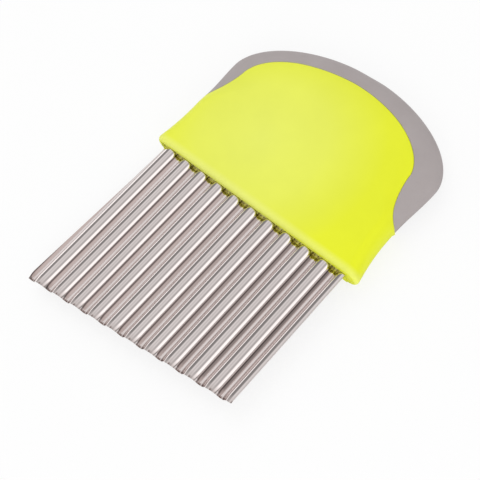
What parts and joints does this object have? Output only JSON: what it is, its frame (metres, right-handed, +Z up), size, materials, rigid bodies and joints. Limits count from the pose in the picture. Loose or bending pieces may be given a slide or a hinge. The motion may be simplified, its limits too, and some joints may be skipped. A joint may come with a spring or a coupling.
{
  "type": "crinkle cutter",
  "caption": "Hand crinkle cutter: a corrugated steel blade with a raked, ground edge, held in a rounded pillow-shaped plastic handle with a soft horseshoe rim.",
  "frame": {"origin": "middle of the bounding box, on the flat land of the rear cover that the tool lies on", "axes": "+X along the cutting edge to its trailing end, +Y from the edge to the crown of the handle, +Z up through the front cover"},
  "size_m": [0.0946, 0.135, 0.0129],
  "materials": {
    "blade_steel": "polished along the corrugation",
    "lime_plastic": "satin",
    "grey_rubber": "matte",
    "core_plastic": "as moulded",
    "pin_steel": "drawn wire"
  },
  "bodies": {
    "root": {"blade": "blade_steel", "front_cover": "lime_plastic", "rear_cover": "lime_plastic", "grip_rim": "grey_rubber", "core_front": "core_plastic", "core_rear": "core_plastic", "tang_pin_1": "pin_steel", "tang_pin_2": "pin_steel", "tang_pin_3": "pin_steel", "tang_pin_4": "pin_steel"}
  },
  "joints": []
}
